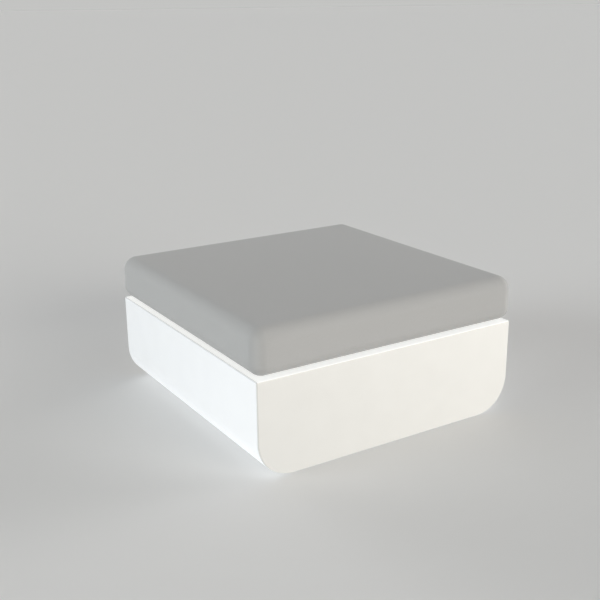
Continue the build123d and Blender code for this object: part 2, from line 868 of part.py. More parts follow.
def make_control_lead(x):
    """Lead from the back of a control to its housing on the control board."""
    points = [(x, pocket_y, barrel_top_z), (x, pocket_y, lead_z), (x, circuit_front_y, lead_z)]
    return tube(points, lead_radius, lead_bend)


def make_battery_lead():
    """Lead from the end of the cradle, up outside the control board and back to its housing."""
    edge = circuit_width / 2
    out = edge + lead_bend + lead_straight
    points = [
        (cradle_length / 2, cradle_y, cell_z),
        (out, cradle_y, cell_z),
        (out, cradle_y, lead_z),
        (edge, cradle_y, lead_z),
    ]
    return tube(points, lead_radius, lead_bend)


def make_led_lead():
    """Lead up through the carrier and over to its pad on the light board."""
    loop_z = light_board_top_z + lead_loop_rise
    points = [
        (0, led_lead_y, circuit_top_z + upright_height),
        (0, led_lead_y, loop_z),
        (lead_loop_reach, led_lead_y, loop_z),
        (lead_loop_reach, led_lead_y, light_board_top_z),
    ]
    return tube(points, lead_radius, lead_bend)


foot_names = ("front_left", "front_right", "back_left", "back_right")
nodes = {
    "body_shell": [make_body_shell()],
    "foot_screws": [make_foot_screw(x, y) for x, y in foot_points],
    "foot_inserts": [insert(x, y, shell_z + foot_sink) for x, y in foot_points],
    "seat_board": [make_seat_board()],
    "board_screws": [make_board_screw(x, y) for x, y in board_points],
    "board_inserts": [insert(x, y, recess_z, up=False) for x, y in board_points],
    "hook_strips": make_strips(board_top_z, hook_thickness),
    "loop_strips": make_strips(board_top_z + hook_thickness, loop_thickness),
    "cushion_cover": [make_cover()],
    "foam_core": [make_foam()],
    "zip_tapes": make_zip_tapes(),
    "zip_coils": make_zip_coils(),
    "zip_slider": [make_zip_slider()],
    "zip_pull": [make_zip_pull()],
    "module_base": [make_module_base()],
    "flange_gasket": [make_flange_gasket()],
    "flange_screws": [make_flange_screw(x, y) for x, y in flange_points],
    "flange_inserts": [insert(x, y, ring_z) for x, y in flange_points],
    "dome_seal": [make_dome_seal()],
    "diffuser_dome": [make_dome()],
    "dome_screws": [make_dome_screw(x, y) for x, y in dome_points],
    "switch_barrel": [make_switch_barrel()],
    "switch_nut": [make_nut(switch_x)],
    "power_button": [make_power_button()],
    "button_spring": [make_button_spring()],
    "charge_jack": [make_charge_jack()],
    "jack_pin": [make_jack_pin()],
    "jack_nut": [make_nut(control_x)],
    "socket_cover": [make_socket_cover()],
    "socket_seal": [make_cover_seal()],
    "hinge_pin": [make_hinge_pin()],
    "battery_cells": [make_cell(y) for y in cell_rows()],
    "battery_cradle": [make_cradle()],
    "battery_strap": [make_strap()],
    "strap_screws": [make_strap_screw(x, y) for x, y in strap_points],
    "circuit_board": [make_circuit_board()],
    "circuit_screws": [make_circuit_screw(x, y) for x, y in standoff_points],
    "board_connectors": make_connectors(),
    "driver_parts": make_driver_parts(),
    "light_carrier": [make_carrier()],
    "carrier_screws": [make_carrier_screw(x, y) for x, y in post_points],
    "light_board": [make_light_board()],
    "led_chips": make_leds(),
    "switch_lead": [make_control_lead(switch_x)],
    "jack_lead": [make_control_lead(control_x)],
    "battery_lead": [make_battery_lead()],
    "led_lead": [make_led_lead()],
}
for name, (x, y) in zip(foot_names, foot_points):
    nodes["foot_" + name] = [make_foot(x, y)]

os.makedirs("parts", exist_ok=True)
for name, pieces in nodes.items():
    shape = pieces[0] if len(pieces) == 1 else Compound(children=pieces)
    export_step(shape, f"parts/{name}.step")
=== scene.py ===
import json
import math

import bmesh
import bpy
from mathutils import Matrix, Vector


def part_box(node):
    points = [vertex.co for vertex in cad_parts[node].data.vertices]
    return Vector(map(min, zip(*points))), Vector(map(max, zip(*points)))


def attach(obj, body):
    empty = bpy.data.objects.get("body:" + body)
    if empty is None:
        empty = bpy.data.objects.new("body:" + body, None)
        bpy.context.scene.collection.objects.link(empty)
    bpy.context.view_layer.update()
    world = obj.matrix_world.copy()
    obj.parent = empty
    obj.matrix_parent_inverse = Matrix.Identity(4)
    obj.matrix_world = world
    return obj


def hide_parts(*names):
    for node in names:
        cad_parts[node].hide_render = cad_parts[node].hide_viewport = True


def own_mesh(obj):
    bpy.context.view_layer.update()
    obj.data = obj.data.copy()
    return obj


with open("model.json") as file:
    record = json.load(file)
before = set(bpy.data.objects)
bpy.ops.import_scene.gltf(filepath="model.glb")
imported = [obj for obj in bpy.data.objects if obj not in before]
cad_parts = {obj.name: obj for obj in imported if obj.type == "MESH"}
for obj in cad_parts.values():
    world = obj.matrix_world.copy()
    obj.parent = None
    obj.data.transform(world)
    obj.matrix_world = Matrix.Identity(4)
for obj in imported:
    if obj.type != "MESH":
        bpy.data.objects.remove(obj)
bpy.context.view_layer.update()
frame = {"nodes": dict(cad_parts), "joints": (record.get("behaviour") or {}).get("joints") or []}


# Body shell
# One hollow moulding in milky polyethylene, closed all round but for the hole of the light module below.
# The lamp inside makes the whole wall glow, with painted light and painted shade laid into that glow.
# The skin has the faint orange peel of a blasted mould.
class Wire:
    """An output socket of a material's nodes. Arithmetic on it adds Math nodes."""

    def __init__(self, socket):
        self.socket = socket

    def add(self, kind, settings=None, inputs=None, output=0):
        """A new node in the same material: settings first, then the values or wires of its inputs."""
        tree = self.socket.id_data
        node = tree.nodes.new(kind)
        for name, setting in (settings or {}).items():
            setattr(node, name, setting)
        for name, value in (inputs or {}).items():
            if isinstance(value, Wire):
                tree.links.new(value.socket, node.inputs[name])
            else:
                node.inputs[name].default_value = value
        return Wire(node.outputs[output])

    def math(self, operation, *values):
        """A Math node on these values or wires."""
        return self.add("ShaderNodeMath", {"operation": operation}, dict(enumerate(values)))

    def __add__(self, other):
        return self.math("ADD", self, other)

    def __radd__(self, other):
        return self.math("ADD", other, self)

    def __sub__(self, other):
        return self.math("SUBTRACT", self, other)

    def __rsub__(self, other):
        return self.math("SUBTRACT", other, self)

    def __mul__(self, other):
        return self.math("MULTIPLY", self, other)

    def __rmul__(self, other):
        return self.math("MULTIPLY", other, self)

    def __truediv__(self, other):
        return self.math("DIVIDE", self, other)

    def __rtruediv__(self, other):
        return self.math("DIVIDE", other, self)

    def __mod__(self, other):
        return self.math("FLOORED_MODULO", self, other)

    def __abs__(self):
        return self.math("ABSOLUTE", self)

    def floor(self):
        return self.math("FLOOR", self)

    def sine(self):
        return self.math("SINE", self)

    def axis(self, letter):
        """One coordinate of a vector."""
        return self.add("ShaderNodeSeparateXYZ", None, {0: self}, letter)

    def rise(self, start, end):
        """0 below start, 1 above end, and smooth between them."""
        limits = {"Value": self, "From Min": start, "From Max": end}
        return self.add("ShaderNodeMapRange", {"interpolation_type": "SMOOTHSTEP"}, limits)

    def between(self, low, high):
        """This share, 0 to 1, as a value from low to high."""
        return low + (high - low) * self

    def scaled(self, share):
        """This colour or vector times one value."""
        return self.add("ShaderNodeVectorMath", {"operation": "SCALE"}, {0: self, "Scale": share})

    def stretched(self, factors):
        """This vector with each coordinate times a factor of its own."""
        return self.add("ShaderNodeVectorMath", {"operation": "MULTIPLY"}, {0: self, 1: factors})

    def tint(self, low, high):
        """The colour that this value picks between two colours."""
        return self.add("ShaderNodeMix", {"data_type": "RGBA"}, {0: self, 6: low, 7: high}, 2)

    def noise(self, size, detail=2.0, distortion=0.0):
        """Soft random patches of about that size, in metres."""
        look = {"Vector": self, "Scale": 1 / size, "Detail": detail, "Distortion": distortion}
        return self.add("ShaderNodeTexNoise", None, look)

    def relief(self, height):
        """The surface normal of this pattern as a relief of that height, in metres."""
        return self.add("ShaderNodeBump", None, {"Height": self, "Distance": height, "Strength": 1.0})


def paint(red, green, blue):
    """A colour as it shows on a screen, 0 to 255, as linear RGBA."""
    shares = [level / 255 for level in (red, green, blue)]
    linear = [s / 12.92 if s <= 0.04045 else ((s + 0.055) / 1.055) ** 2.4 for s in shares]
    return (*linear, 1.0)


def start_finish(name, **fixed):
    """A new material, its shader with the fixed values set, and the piece's own coordinates."""
    material = bpy.data.materials.new(name)
    material.use_nodes = True
    nodes = material.node_tree.nodes
    shader = nodes["Principled BSDF"]
    for socket, value in fixed.items():
        shader.inputs[socket.replace("_", " ")].default_value = value
    return material, shader, Wire(nodes.new("ShaderNodeTexCoord").outputs["Object"])


def feed(shader, varying):
    """Links what changes over the surface to the shader."""
    for socket, wire in varying.items():
        wire.socket.id_data.links.new(wire.socket, shader.inputs[socket])


def dress(material, *names):
    """Gives CAD pieces this finish."""
    for name in names:
        for held in frame["nodes"][name].material_slots:
            held.material = material


SHELL_PLASTIC = paint(174, 176, 176)
SHELL_PLASTIC_WORN = paint(166, 168, 168)
SHELL_PATCH = 0.080
SHELL_GLOSS_PATCH = 0.010
SHELL_ROUGHNESS = (0.40, 0.50)
PEEL_SIZE = 0.0016
PEEL_HEIGHT = 0.00003

# The glow of the walls and of the rim. The lamp's glow is real, and painted light and shade are laid into it:
# cooler sides and warmer ends, painted shade on the rim towards the seat board, painted light that drifts
# along a wall, climbs and gains underneath, painted shade on the base and along the side and upright edges,
# and a painted highlight along the ends' top edges. Then the facings between which each of these sets in.
# Cooler, brighter sides and warmer, dimmer ends: painted light laid into the lamp's glow.
SIDE_GLOW_PAINTED_COOL_LIGHT = (0.450, 0.460, 0.472, 1.0)
END_GLOW_PAINTED_WARM_LIGHT = (0.380, 0.358, 0.320, 1.0)
RIM_GLOW = (0.640, 0.640, 0.625, 1.0)
# The rim's glow falls to this towards the seat board: painted shade.
RIM_GLOW_IN_PAINTED_SHADE = (0.430, 0.430, 0.420, 1.0)
RIM_PAINTED_SHADE_REACH = (0.335, 0.378)
RIM_CORNER = 0.060
# Painted light: the glow drifts brighter along each wall and climbs up the ends above this centre height.
SIDE_PAINTED_DRIFT = 0.60
END_PAINTED_DRIFT = 0.88
END_PAINTED_CLIMB = 0.50
PAINTED_CLIMB_CENTRE = 0.13
# Painted light: faces turned downwards glow more.
UNDER_PAINTED_LIGHT = 0.25
# Painted shade: the underside glows at this share, which keeps the floor's contact shadow dark.
BASE_GLOW_IN_PAINTED_SHADE = 0.70
# A painted highlight along the ends' top edges, and painted shade along the sides' top edges and the upright
# corners.
END_EDGE_PAINTED_HIGHLIGHT = 0.10
SIDE_EDGE_PAINTED_SHADE = 0.58
UPRIGHT_EDGE_PAINTED_SHADE = 0.35
EDGE_TURN = (0.05, 0.35)
UPRIGHT_TURN = (0.05, 0.45)
UNDER_TURN = (-0.85, 0.0)
BASE_TURN = (-0.985, -0.90)
END_TURN = (0.2, 0.8)
RIM_TURN = (0.6, 0.9)

shell_finish, shell_shader, place = start_finish("glow_shell_milky", IOR=1.5, Emission_Strength=1.0)
facing = place.add("ShaderNodeNewGeometry", output="Normal")
faces_side = abs(facing.axis("X"))
faces_end = abs(facing.axis("Y"))
faces_up = facing.axis("Z").rise(0.0, 1.0)
# Painted light: the glow drifts along each wall and climbs up the ends.
painted_drift = place.axis("X") * place.axis("Y") * (SIDE_PAINTED_DRIFT * faces_side - END_PAINTED_DRIFT * faces_end)
climb = END_PAINTED_CLIMB * faces_end * (place.axis("Z") - PAINTED_CLIMB_CENTRE)
# Painted shade and a painted highlight along the edges of the shell.
painted_side_edge_shade = (faces_side * faces_up).rise(*EDGE_TURN)
painted_end_edge_highlight = (faces_end * faces_up).rise(*EDGE_TURN)
painted_upright_edge_shade = (faces_side * faces_end).rise(*UPRIGHT_TURN)
edges = END_EDGE_PAINTED_HIGHLIGHT * painted_end_edge_highlight - SIDE_EDGE_PAINTED_SHADE * painted_side_edge_shade - UPRIGHT_EDGE_PAINTED_SHADE * painted_upright_edge_shade
# Painted light on the faces turned downwards.
under = UNDER_PAINTED_LIGHT * (1 - facing.axis("Z").rise(*UNDER_TURN))
# Painted shade on the base: its glow is turned down.
above_base = facing.axis("Z").rise(*BASE_TURN).between(BASE_GLOW_IN_PAINTED_SHADE, 1.0)
# The lamp's glow multiplied by all of the painted light and painted shade above.
glow_share_with_painted_light = (1 + painted_drift + climb + edges + under) * above_base
# Painted light: the wall's glow takes the cool side colour or the warm end colour by facing.
wall_glow_painted_by_facing = faces_end.rise(*END_TURN).tint(SIDE_GLOW_PAINTED_COOL_LIGHT, END_GLOW_PAINTED_WARM_LIGHT)
# Painted shade on the rim: its glow darkens inwards towards the seat board.
outward = place.math("SMOOTH_MAX", abs(place.axis("X")), abs(place.axis("Y")), RIM_CORNER)
rim_glow_with_painted_shade = outward.rise(*RIM_PAINTED_SHADE_REACH).tint(RIM_GLOW_IN_PAINTED_SHADE, RIM_GLOW)
glow = faces_up.rise(*RIM_TURN).tint(wall_glow_painted_by_facing, rim_glow_with_painted_shade)
feed(shell_shader, {
    "Base Color": place.noise(SHELL_PATCH).tint(SHELL_PLASTIC, SHELL_PLASTIC_WORN),
    "Roughness": place.noise(SHELL_GLOSS_PATCH).between(*SHELL_ROUGHNESS),
    "Normal": place.noise(PEEL_SIZE).relief(PEEL_HEIGHT),
    "Emission Color": glow.scaled(glow_share_with_painted_light),
})
dress(shell_finish, "body_shell")


# Glides
# Four turned rubber feet under the flat of the shell, each drawn up into a moulded-in brass insert by one
# countersunk steel screw. They hold the shell 3 mm off the floor.
RUBBER_BLACK = paint(34, 34, 35)
RUBBER_GREY = paint(46, 46, 46)
STEEL_BRIGHT = paint(196, 197, 199)
STEEL_DULL = paint(150, 151, 153)
BRASS_BRIGHT = paint(212, 178, 104)
BRASS_DULL = paint(168, 134, 70)
SHADE_PATCH = 12
GLOSS_PATCH = 5


def grained_finish(name, light, dark, grain, height, smooth, rough, **fixed):
    """A cast or moulded surface of two near shades, with a grain of that size and height in metres."""
    material, shader, place = start_finish(name, **fixed)
    feed(shader, {
        "Base Color": place.noise(SHADE_PATCH * grain, detail=4.0).tint(light, dark),
        "Roughness": place.noise(GLOSS_PATCH * grain).between(smooth, rough),
        "Normal": place.noise(grain).relief(height),
    })
    return material


rubber_finish = grained_finish("foot_rubber_matt", RUBBER_BLACK, RUBBER_GREY,
                               grain=0.0009, height=0.00004, smooth=0.70, rough=0.90)
steel_finish = grained_finish("steel_zinc_plated", STEEL_BRIGHT, STEEL_DULL,
                              grain=0.0006, height=0.000004, smooth=0.22, rough=0.42, Metallic=1.0)
brass_finish = grained_finish("brass_turned", BRASS_BRIGHT, BRASS_DULL,
                              grain=0.0006, height=0.000004, smooth=0.25, rough=0.45, Metallic=1.0)
dress(rubber_finish, "foot_front_left", "foot_front_right", "foot_back_left", "foot_back_right")
dress(steel_finish, "foot_screws")
dress(brass_finish, "foot_inserts")


# Seat board
# A square of birch plywood let into the recess of the shell, held by eight screws in brass inserts. Its
# veneer runs across the stool and its edge shows the layers.
BIRCH_PALE = paint(222, 196, 158)
BIRCH_DARK = paint(196, 162, 118)
BIRCH_GLUE = paint(128, 92, 60)
GLUE_STRENGTH = 0.6
VENEER = 0.0015
GRAIN_STRETCH = (12.0, 240.0, 240.0)
GRAIN_SHADES = (0.3, 0.7)
GRAIN_HEIGHT = 0.00008
PORE_STRETCH = (90.0, 1800.0, 1800.0)
PORE_SHADES = (0.50, 0.75)
PORE_SHARE = 0.35
BOARD_ROUGHNESS = (0.50, 0.70)
EDGE_FACING = (0.4, 0.6)

board_finish, board_shader, place = start_finish("board_birch_ply", Specular_IOR_Level=0.35)
grain = place.stretched(GRAIN_STRETCH).noise(1.0, detail=6.0, distortion=0.8)
pores = place.stretched(PORE_STRETCH).noise(1.0).rise(*PORE_SHADES)
faces_up = abs(place.add("ShaderNodeNewGeometry", output="Normal").axis("Z"))
on_edge = 1 - faces_up.rise(*EDGE_FACING)
layer = (place.axis("Z") / VENEER).floor() % 2.0
darkness = (1 - PORE_SHARE) * grain.rise(*GRAIN_SHADES) + PORE_SHARE * pores
wood = darkness.tint(BIRCH_PALE, BIRCH_DARK)
feed(board_shader, {
    "Base Color": (GLUE_STRENGTH * on_edge * layer).tint(wood, BIRCH_GLUE),
    "Roughness": grain.between(*BOARD_ROUGHNESS),
    "Normal": (grain - PORE_SHARE * pores).relief(GRAIN_HEIGHT),
})
dress(board_finish, "seat_board")
dress(steel_finish, "board_screws")
dress(brass_finish, "board_inserts")


# Light module casing
# A round grey moulding that closes the hole in the floor of the shell, screwed up against a rubber gasket.
# An opal dome over the light source seals on its inner side with six small screws.
CASING_GREY = paint(92, 94, 97)
CASING_DARK = paint(82, 84, 87)
SEAL_BLACK = paint(28, 28, 29)
SEAL_GREY = paint(40, 40, 41)
OPAL_WHITE = paint(232, 233, 232)
OPAL_MILK = paint(222, 224, 224)
OPAL_GLOW = paint(120, 119, 114)

casing_finish = grained_finish("module_plastic_spark", CASING_GREY, CASING_DARK,
                               grain=0.0007, height=0.00005, smooth=0.45, rough=0.62)
seal_finish = grained_finish("seal_rubber_soft", SEAL_BLACK, SEAL_GREY,
                             grain=0.0008, height=0.00003, smooth=0.65, rough=0.85)
opal_finish = grained_finish("opal_frosted", OPAL_WHITE, OPAL_MILK,
                             grain=0.0010, height=0.00002, smooth=0.30, rough=0.42,
                             Emission_Color=OPAL_GLOW, Emission_Strength=0.5)
dress(casing_finish, "module_base")
dress(seal_finish, "flange_gasket", "dome_seal")
dress(opal_finish, "diffuser_dome")
dress(steel_finish, "flange_screws", "dome_screws")
dress(brass_finish, "flange_inserts")


# Light source
# Two rings of light chips soldered to a round white circuit. Screws press the circuit to an aluminium disc,
# which spreads the heat of the chips into the casing.
ALUMINIUM_BRIGHT = paint(206, 207, 208)
ALUMINIUM_DULL = paint(176, 177, 179)
MASK_WHITE = paint(226, 227, 224)
MASK_TRACE = paint(206, 206, 198)
CHIP_YELLOW = paint(236, 214, 120)
CHIP_PALE = paint(240, 226, 160)
CHIP_GLOW = paint(200, 190, 160)
TRACE_PITCH = 0.0035
TRACE_EDGE = (0.30, 0.36)
TRACE_RUN = 0.012
TRACE_BREAK = (0.48, 0.52)
TRACE_HEIGHT = 0.00003
LACQUER_PATCH = 0.004
LACQUER_ROUGHNESS = (0.30, 0.40)


def circuit_finish(name, mask, trace):
    """A lacquered circuit: straight copper traces show as slightly raised lines under the lacquer."""
    material, shader, place = start_finish(name, Coat_Weight=0.3)
    lanes = abs((place.axis("X") / TRACE_PITCH) % 1.0 - 0.5).rise(*TRACE_EDGE)
    copper = lanes * place.noise(TRACE_RUN).rise(*TRACE_BREAK)
    feed(shader, {
        "Base Color": copper.tint(mask, trace),
        "Roughness": place.noise(LACQUER_PATCH).between(*LACQUER_ROUGHNESS),
        "Normal": copper.relief(TRACE_HEIGHT),
    })
    return material


carrier_finish = grained_finish("aluminium_brushed", ALUMINIUM_BRIGHT, ALUMINIUM_DULL,
                                grain=0.0005, height=0.000005, smooth=0.28, rough=0.45, Metallic=1.0)
light_circuit_finish = circuit_finish("light_circuit_white", MASK_WHITE, MASK_TRACE)
chip_finish = grained_finish("led_phosphor", CHIP_YELLOW, CHIP_PALE,
                             grain=0.0004, height=0.00002, smooth=0.35, rough=0.50,
                             Emission_Color=CHIP_GLOW, Emission_Strength=0.5)
dress(carrier_finish, "light_carrier", "battery_strap")
dress(steel_finish, "carrier_screws")
dress(light_circuit_finish, "light_board")
dress(chip_finish, "led_chips")


# Battery and control circuit
# Three sleeved cells lie in a moulded cradle under a screwed metal strap. Above them a green circuit on four
# posts carries the driver, and leads plug into it from the switch, the socket, the cells and the lights.
SLEEVE_BLUE = paint(58, 92, 136)
SLEEVE_DARK = paint(48, 78, 118)
CRADLE_BLACK = paint(44, 45, 47)
CRADLE_GREY = paint(54, 55, 57)
MASK_GREEN = paint(36, 92, 58)
MASK_COPPER = paint(62, 118, 76)
CONNECTOR_IVORY = paint(224, 218, 202)
CONNECTOR_SHADE = paint(208, 201, 184)
COMPONENT_BLACK = paint(36, 36, 38)
COMPONENT_GREY = paint(52, 52, 54)
LEADS = {
    "lead_black": (paint(30, 30, 31), paint(42, 42, 43), ("jack_lead",)),
    "lead_red": (paint(150, 34, 30), paint(130, 28, 26), ("battery_lead",)),
    "lead_white": (paint(222, 220, 214), paint(206, 204, 198), ("switch_lead", "led_lead")),
}

sleeve_finish = grained_finish("cell_sleeve_shrunk", SLEEVE_BLUE, SLEEVE_DARK,
                               grain=0.0012, height=0.00002, smooth=0.28, rough=0.40)
cradle_finish = grained_finish("cradle_plastic_plain", CRADLE_BLACK, CRADLE_GREY,
                               grain=0.0007, height=0.00003, smooth=0.45, rough=0.60)
control_finish = circuit_finish("circuit_green", MASK_GREEN, MASK_COPPER)
connector_finish = grained_finish("connector_nylon", CONNECTOR_IVORY, CONNECTOR_SHADE,
                                  grain=0.0006, height=0.00001, smooth=0.40, rough=0.55)
component_finish = grained_finish("component_epoxy", COMPONENT_BLACK, COMPONENT_GREY,
                                  grain=0.0005, height=0.00002, smooth=0.45, rough=0.65)
dress(sleeve_finish, "battery_cells")
dress(cradle_finish, "battery_cradle")
dress(control_finish, "circuit_board")
dress(connector_finish, "board_connectors")
dress(component_finish, "driver_parts")
dress(steel_finish, "strap_screws", "circuit_screws")
for lead, (light, dark, nodes) in LEADS.items():
    lead_finish = grained_finish(lead + "_sleeve", light, dark,
                                 grain=0.0010, height=0.00002, smooth=0.40, rough=0.55)
    dress(lead_finish, *nodes)


# Switch and charging socket
# Both sit in a pocket in the underside of the module: a metal push button on a coil spring in a threaded
# barrel, and a round socket behind a hinged rubber-lined flap. A nut inside holds each of them.
BUTTON_SILVER = paint(200, 201, 203)
BUTTON_SHADE = paint(170, 171, 174)
JACK_BLACK = paint(30, 30, 32)
JACK_GREY = paint(42, 42, 44)
FLAP_GREY = paint(70, 72, 75)
FLAP_DARK = paint(60, 62, 65)
SPRING_WIRE = 0.00035
SPRING_TURNS = 5
STEPS_PER_TURN = 32
WIRE_SIDES = 10


def new_object(name, bm, material):
    """A finished mesh as an object in the scene."""
    mesh = bpy.data.meshes.new(name)
    bm.to_mesh(mesh)
    bm.free()
    mesh.materials.append(material)
    made = bpy.data.objects.new(name, mesh)
    bpy.context.scene.collection.objects.link(made)
    return made


def new_piece(name, bm, material, body):
    """A finished mesh as a piece of the stool that rides a body."""
    piece = new_object(name, bm, material)
    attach(piece, body)
    return piece


def smooth_faces(bm):
    """Shades the whole mesh smooth."""
    for face in bm.faces:
        face.smooth = True


def wound_spring(low, high):
    """A round wire wound up the box between two corners, with its ends closed."""
    middle = (low + high) / 2
    steps = SPRING_TURNS * STEPS_PER_TURN
    climb = (high.z - low.z - 2 * SPRING_WIRE) / steps
    bm = bmesh.new()
    ring = bmesh.ops.create_circle(bm, segments=WIRE_SIDES, radius=SPRING_WIRE)["verts"]
    bmesh.ops.rotate(bm, matrix=Matrix.Rotation(math.radians(90), 3, "X"), verts=ring)
    bmesh.ops.translate(bm, vec=(high.x - SPRING_WIRE, middle.y, low.z + SPRING_WIRE), verts=ring)
    bmesh.ops.spin(bm, geom=bm.verts[:] + bm.edges[:], cent=middle, axis=(0, 0, 1), dvec=(0, 0, climb),
                   angle=2 * math.pi * SPRING_TURNS, steps=steps)
    bmesh.ops.holes_fill(bm, edges=[edge for edge in bm.edges if edge.is_boundary], sides=WIRE_SIDES)
    bmesh.ops.recalc_face_normals(bm, faces=bm.faces)
    smooth_faces(bm)
    return bm


button_finish = grained_finish("button_metal_satin", BUTTON_SILVER, BUTTON_SHADE,
                               grain=0.0004, height=0.000006, smooth=0.24, rough=0.36, Metallic=1.0)
jack_finish = grained_finish("jack_plastic_black", JACK_BLACK, JACK_GREY,
                             grain=0.0005, height=0.00002, smooth=0.35, rough=0.50)
flap_finish = grained_finish("cover_plastic_grey", FLAP_GREY, FLAP_DARK,
                             grain=0.0006, height=0.00004, smooth=0.45, rough=0.60)
dress(button_finish, "switch_barrel", "power_button")
dress(jack_finish, "charge_jack")
dress(flap_finish, "socket_cover")
dress(seal_finish, "socket_seal")
dress(steel_finish, "switch_nut", "jack_nut", "hinge_pin")
dress(brass_finish, "jack_pin")

SPRING_LOW, SPRING_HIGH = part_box("button_spring")
spring_length = SPRING_HIGH.z - SPRING_LOW.z
button_press = next(joint for joint in frame["joints"] if joint["name"] == "button_press")
pressed_length = spring_length - button_press["range_m"][1]
switch_spring = new_piece("switch_spring", wound_spring(SPRING_LOW, SPRING_HIGH), steel_finish,
                          "stool_base")
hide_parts("button_spring")
pressed_length / spring_length
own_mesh(switch_spring)


# Hook and loop strips
# Three pairs of black woven tape hold the cushion down. The hook tape is stapled to the seat board, and the
# loop tape is sewn to the underside of the cover. Both have a plain woven border.
STRIP_COUNT = 3
STRIP_WIDTH = 0.040
STRIP_CORNER = 0.003
STRIP_BORDER = 0.0025
STRIP_PILE_DROP = 0.0004
HOOK_BLACK = paint(36, 36, 38)
HOOK_GREY = paint(62, 62, 64)
LOOP_GREY = paint(96, 96, 97)
LOOP_DARK = paint(66, 66, 67)
HOOK_PITCH = 0.0015
HOOK_ROW = 0.0012
HOOK_HEIGHT = 0.0005
LOOP_PITCH = 0.0011
LOOP_HEIGHT = 0.0003
# Painted shade: the span of pile height over which the colour goes from the dark gaps to the lighter tips.
PILE_PAINTED_SHADE_SPAN = (0.3, 0.9)
PILE_ROUGHNESS = (0.95, 0.75)
SQUARE_ON = 0.9
STAPLE = Vector((0.0100, 0.0010, 0.00035))
STAPLE_COUNT = 5
STAPLE_EDGE = 0.00015

HOOK_LOW, HOOK_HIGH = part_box("hook_strips")
strip_step = Vector((0.0, (HOOK_HIGH.y - HOOK_LOW.y - STRIP_WIDTH) / (STRIP_COUNT - 1), 0.0))


def block(bm, low, high):
    """A plain block between two corners, as the start of a piece. Returns its vertices."""
    verts = bmesh.ops.create_cube(bm, size=1.0)["verts"]
    bmesh.ops.scale(bm, vec=high - low, verts=verts)
    bmesh.ops.translate(bm, vec=(low + high) / 2, verts=verts)
    return verts


def edges_of(verts):
    """All edges that meet these vertices."""
    return list({edge for vert in verts for edge in vert.link_edges})


def ease(bm, edges, radius, segments):
    """Rounds these edges."""
    bmesh.ops.bevel(bm, geom=edges, offset=radius, affect="EDGES", segments=segments,
                    profile=0.5, material=-1)


def repeat(piece, count, step):
    """Copies of what the piece holds so far, one step apart."""
    copies = piece.modifiers.new("repeat", "ARRAY")
    copies.count = count
    copies.use_relative_offset = False
    copies.use_constant_offset = True
    copies.constant_offset_displace = step


def strips(node, pile_up):
    """The tapes of one node: rounded corners and, on the pile side, a raised field inside a flat border."""
    low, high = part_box(node)
    far_corner = Vector((high.x, low.y + STRIP_WIDTH, high.z))
    pile = 1 if pile_up else -1
    bm = bmesh.new()
    for index in range(STRIP_COUNT):
        verts = block(bm, low + index * strip_step, far_corner + index * strip_step)
        upright = [e for e in edges_of(verts) if abs(e.verts[0].co.z - e.verts[1].co.z) > STRIP_PILE_DROP]
        ease(bm, upright, STRIP_CORNER, segments=4)
    bm.normal_update()
    fields = [face for face in bm.faces if face.normal.z * pile > SQUARE_ON]
    for field in fields:
        border = bmesh.ops.inset_region(bm, faces=[field], thickness=STRIP_BORDER, depth=0.0)["faces"]
        rim = {vert for face in border for vert in face.verts} - set(field.verts)
        bmesh.ops.translate(bm, vec=(0, 0, -pile * STRIP_PILE_DROP), verts=list(rim))
    return bm


def hook_rows(place):
    """Hooks in straight rows, every other row shifted by half a pitch: 0 between them, 1 at their tips."""
    row = place.axis("Y") / HOOK_ROW
    column = place.axis("X") / HOOK_PITCH + 0.5 * (row.floor() % 2.0)
    return abs((math.pi * row).sine() * (math.pi * column).sine())


def loop_tangle(place):
    """Loops in no order: 0 between them, 1 at their tops."""
    return 1 - place.add("ShaderNodeTexVoronoi", None, {"Vector": place, "Scale": 1 / LOOP_PITCH}, "Distance")


def pile_finish(name, light, dark, pile, height):
    """A tape with a dense pile of that height, laid out by a function of the tape's coordinates."""
    material, shader, place = start_finish(name, Sheen_Weight=0.2, Sheen_Roughness=0.5)
    tips = pile(place)
    feed(shader, {
        # Painted shade: the colour darkens between the hooks and loops and is lighter at their tips.
        "Base Color": tips.rise(*PILE_PAINTED_SHADE_SPAN).tint(dark, light),
        "Roughness": tips.between(*PILE_ROUGHNESS),
        "Normal": tips.relief(height),
    })
    return material


hook_finish = pile_finish("hook_tape_pile", HOOK_GREY, HOOK_BLACK, hook_rows, HOOK_HEIGHT)
loop_finish = pile_finish("loop_tape_pile", LOOP_GREY, LOOP_DARK, loop_tangle, LOOP_HEIGHT)
hook_tape = new_piece("hook_tape", strips("hook_strips", pile_up=True), hook_finish,
                      "stool_base")
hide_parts("hook_strips")
loop_tape = new_piece("loop_tape", strips("loop_strips", pile_up=False), loop_finish,
                      "cushion")
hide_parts("loop_strips")

border_half = STRIP_BORDER / 2
border_top = HOOK_HIGH.z - STRIP_PILE_DROP
staple_run = HOOK_HIGH.x - HOOK_LOW.x - 2 * STRIP_CORNER - STAPLE.x
staple_corner = Vector((HOOK_LOW.x + STRIP_CORNER, HOOK_LOW.y + border_half - STAPLE.y / 2, border_top))
bm = bmesh.new()
ease(bm, edges_of(block(bm, staple_corner, staple_corner + STAPLE)), STAPLE_EDGE, segments=2)
tape_staples = new_piece("tape_staples", bm, steel_finish, "stool_base")
repeat(tape_staples, STAPLE_COUNT, (staple_run / (STAPLE_COUNT - 1), 0.0, 0.0))
repeat(tape_staples, 2, (0.0, STRIP_WIDTH - STRIP_BORDER, 0.0))
repeat(tape_staples, STRIP_COUNT, strip_step)


